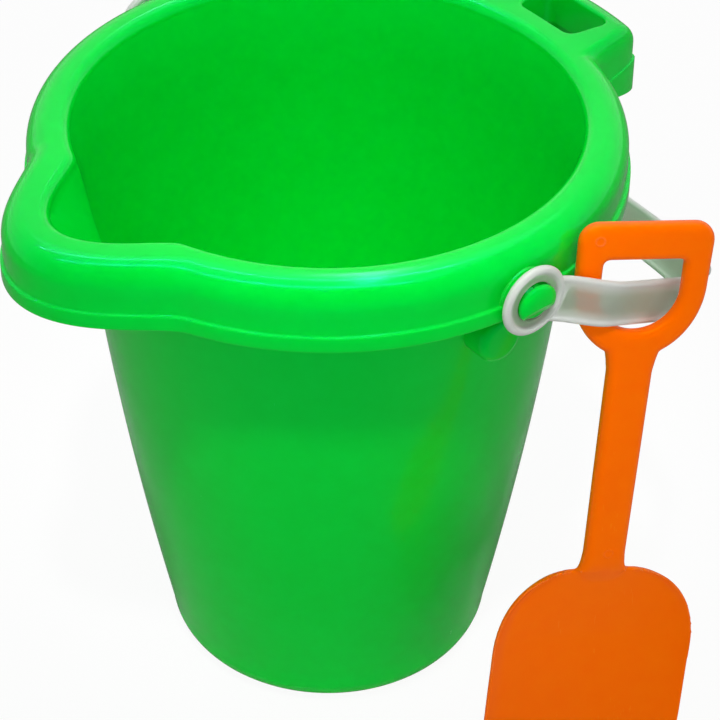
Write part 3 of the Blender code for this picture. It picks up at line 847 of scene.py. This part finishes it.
def milky_plastic(name):
    """Natural, uncoloured plastic: cloudy, lets light through where it is thin, whiter in the thick beads."""
    material = bpy.data.materials.new(name)
    material.use_nodes = True
    tree = material.node_tree
    shader = tree.nodes["Principled BSDF"]
    n = Nodes(tree)
    where = n.add("ShaderNodeTexCoord").outputs["Object"]
    thick = n.add("ShaderNodeAttribute", attribute_name="thick").outputs["Fac"]
    cloud = n.spread(n.noise(where, 70.0, 4.0).outputs["Fac"], 0.3, 0.7)
    web = n.add("ShaderNodeMix", {"Factor": cloud}, data_type="RGBA")
    web.inputs["A"].default_value = (0.72, 0.80, 0.66, 1)
    web.inputs["B"].default_value = (0.80, 0.86, 0.73, 1)
    mix = n.add("ShaderNodeMix", {"Factor": thick}, data_type="RGBA")
    tree.links.new(web.outputs["Result"], mix.inputs["A"])
    mix.inputs["B"].default_value = (0.76, 0.79, 0.75, 1)
    tree.links.new(mix.outputs["Result"], shader.inputs["Base Color"])
    rough = n.spread(n.noise(where, 150.0, 3.0).outputs["Fac"], 0.3, 0.7, 0.34, 0.46)
    tree.links.new(rough, shader.inputs["Roughness"])
    height = n.noise(where, 500.0).outputs["Fac"]
    relief = n.add("ShaderNodeBump", {"Height": height, "Strength": 0.12, "Distance": RELIEF_DEPTH})
    tree.links.new(relief.outputs["Normal"], shader.inputs["Normal"])
    tree.links.new(n.spread(thick, 0.0, 1.0, 0.74, 0.22), shader.inputs["Transmission Weight"])
    shader.inputs["IOR"].default_value = 1.45
    return material


def floor_material():
    """A white floor, whitened further for the camera and dimmed for what the plastic mirrors."""
    material = bpy.data.materials.new("floor_white")
    material.use_nodes = True
    tree = material.node_tree
    shader = tree.nodes["Principled BSDF"]
    n = Nodes(tree)
    light_path = n.add("ShaderNodeLightPath")
    where = n.add("ShaderNodeTexCoord").outputs["Object"]
    shadeness = n.spread(n.noise(where, 3.0, 2.0).outputs["Fac"], 0.3, 0.7)
    mix = n.add("ShaderNodeMix", {"Factor": shadeness}, data_type="RGBA")
    mix.inputs["A"].default_value = (0.93, 0.93, 0.93, 1)
    mix.inputs["B"].default_value = (0.95, 0.95, 0.95, 1)
    dim = n.add("ShaderNodeMix", {"Factor": light_path.outputs["Is Glossy Ray"]}, data_type="RGBA")
    tree.links.new(mix.outputs["Result"], dim.inputs["A"])
    dim.inputs["B"].default_value = (0.35, 0.35, 0.35, 1)
    tree.links.new(dim.outputs["Result"], shader.inputs["Base Color"])
    shader.inputs["Roughness"].default_value = 0.7
    shader.inputs["Specular IOR Level"].default_value = 0.2
    painted_glow = n.add("ShaderNodeEmission", {"Color": (1, 1, 1, 1), "Strength": 1.0})
    share = n.math("MULTIPLY", light_path.outputs["Is Camera Ray"], FLOOR_LIFT)
    blend = n.add("ShaderNodeMixShader", {0: share})
    tree.links.new(shader.outputs[0], blend.inputs[1])
    tree.links.new(painted_glow.outputs[0], blend.inputs[2])
    tree.links.new(blend.outputs[0], tree.nodes["Material Output"].inputs["Surface"])
    return material


def dress(obj, material, body, node):
    obj.data.materials.clear()
    obj.data.materials.append(material)
    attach(obj, body)
    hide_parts(node)


# --- Studio -----------------------------------------------------------------------------------


def aimed(name, light, location, target=(0, 0, 0.12)):
    obj = bpy.data.objects.new(name, light)
    bpy.context.scene.collection.objects.link(obj)
    obj.location = location
    aim = Vector(target) - Vector(location)
    obj.rotation_euler = aim.to_track_quat("-Z", "Y").to_euler()
    return obj


def softbox(name, location, width, height, radiance, mirrored=True):
    """A panel facing the bucket. It can be left out of reflections."""
    light = bpy.data.lights.new(name, "AREA")
    light.shape = "RECTANGLE"
    light.size = width
    light.size_y = height
    light.energy = radiance * math.pi * width * height
    obj = aimed(name, light, location)
    obj.visible_glossy = mirrored
    obj.visible_camera = False
    return obj


def camera_ways():
    """The level directions away from the camera and to its right."""
    away = Vector((CAMERA_LOOKS[0], CAMERA_LOOKS[1], 0)).normalized()
    return away, Vector((away.y, -away.x, 0))


def ceiling_strip(name, start, end, width, radiance):
    """A tube lamp seen only in reflections, between two places in the plane of the strips."""
    away, right = camera_ways()
    ends = [away * a + right * r + Vector((0, 0, STRIP_Z)) for a, r in (start, end)]
    run = ends[1] - ends[0]
    length = run.length
    light = bpy.data.lights.new(name, "AREA")
    light.shape = "RECTANGLE"
    light.size = length
    light.size_y = width
    light.energy = radiance * math.pi * width * length
    obj = bpy.data.objects.new(name, light)
    bpy.context.scene.collection.objects.link(obj)
    obj.location = (ends[0] + ends[1]) / 2
    obj.rotation_euler = (0, 0, math.atan2(run.y, run.x))
    obj.visible_diffuse = False
    obj.visible_transmission = False
    obj.visible_camera = False
    return obj


def overhead(distance, back, across=0.0):
    """A place at a distance from the bucket, tilted from the zenith away from the camera and to its right."""
    away, right = camera_ways()
    up = Vector((0, 0, 1))
    tilt = up * math.cos(math.radians(back)) + away * math.sin(math.radians(back))
    way = tilt * math.cos(math.radians(across)) + right * math.sin(math.radians(across))
    return Vector((0, 0, 0.2)) + way * distance


def build_world():
    """An even pale room. What the glossy plastic mirrors on the camera's side is darker."""
    world = bpy.data.worlds.new("studio")
    bpy.context.scene.world = world
    world.use_nodes = True
    tree = world.node_tree
    n = Nodes(tree)
    background = tree.nodes["Background"]
    path = n.add("ShaderNodeLightPath")
    direction = n.add("ShaderNodeTexCoord").outputs["Generated"]
    back = tuple(-c for c in CAMERA_LOOKS[:2]) + (0.25,)
    facing = n.add("ShaderNodeVectorMath", {0: direction, 1: back}, operation="DOT_PRODUCT").outputs["Value"]
    mirror = n.spread(facing, -0.1, 0.75, 0.75, 0.15)
    room = n.add("ShaderNodeMix", {"Factor": path.outputs["Is Glossy Ray"]}, data_type="FLOAT")
    room.inputs["A"].default_value = ROOM
    tree.links.new(mirror, room.inputs["B"])
    seen = n.add("ShaderNodeMix", {"Factor": path.outputs["Is Camera Ray"]}, data_type="FLOAT")
    tree.links.new(room.outputs["Result"], seen.inputs["A"])
    seen.inputs["B"].default_value = 1.0
    tree.links.new(seen.outputs["Result"], background.inputs["Strength"])
    background.inputs["Color"].default_value = (1, 1, 1, 1)


def build_studio():
    build_world()
    softbox("ceiling", overhead(1.4, 8), 1.5, 1.7, CEILING)
    softbox("front_fill", overhead(1.5, -90, 16), 1.0, 0.8, FRONT, mirrored=False)
    for strip in STRIPS:
        ceiling_strip(*strip)
    lamp = bpy.data.lights.new("cavity_lamp", "SPOT")
    lamp.energy = CAVITY_LAMP
    lamp.spot_size = math.radians(9.0)
    lamp.spot_blend = 0.7
    lamp.shadow_soft_size = 0.12
    aimed("cavity_lamp", lamp, overhead(1.2, -24), (0, 0, 0.19)).visible_glossy = False
    bm = bmesh.new()
    bmesh.ops.create_circle(bm, cap_ends=True, segments=128, radius=FLOOR_RADIUS)
    floor = object_from(bm, "floor")
    floor.location = (0, 0, -0.0002)
    floor.data.materials.append(floor_material())
    bpy.context.scene.view_settings.view_transform = "Standard"


def build_camera():
    camera = bpy.data.cameras.new("camera")
    camera.lens = LENS
    camera.sensor_width = SENSOR
    camera.clip_start = 0.01
    obj = bpy.data.objects.new("camera", camera)
    bpy.context.scene.collection.objects.link(obj)
    ahead = Vector(CAMERA_LOOKS).normalized()
    right = ahead.cross(Vector((0, 0, 1))).normalized()
    up = right.cross(ahead)
    roll = math.radians(CAMERA_ROLL)
    right, up = right * math.cos(roll) + up * math.sin(roll), up * math.cos(roll) - right * math.sin(roll)
    turn = Matrix((right, up, -ahead)).transposed().to_4x4()
    obj.matrix_world = Matrix.Translation(CAMERA_AT) @ turn
    bpy.context.scene.camera = obj


green = moulded_plastic(
    "green_plastic",
    deep=(0.0, 0.66, 0.026),
    pale=(0.0, 0.71, 0.034),
    tint=(0.03, 0.75, 0.9),
    rough=0.16,
    subsurface=0.4,
    scatter=(0.2, 1.0, 0.35),
)
orange = moulded_plastic(
    "orange_plastic",
    deep=(0.98, 0.132, 0.0),
    pale=(1.0, 0.155, 0.0),
    tint=(1.0, 0.45, 0.0),
    rough=0.24,
    subsurface=0.15,
    scatter=(1.0, 0.35, 0.1),
    # painted glow on the spade: emission that lifts the orange as if it were lit more brightly
    painted_glow=0.12,
)
milky = milky_plastic("natural_plastic")
dress(build_bucket(), green, "bucket", "bucket_body")
dress(build_handle(), milky, "handle", "strap_handle")
dress(build_spade(), orange, "spade", "spade")
build_studio()
build_camera()
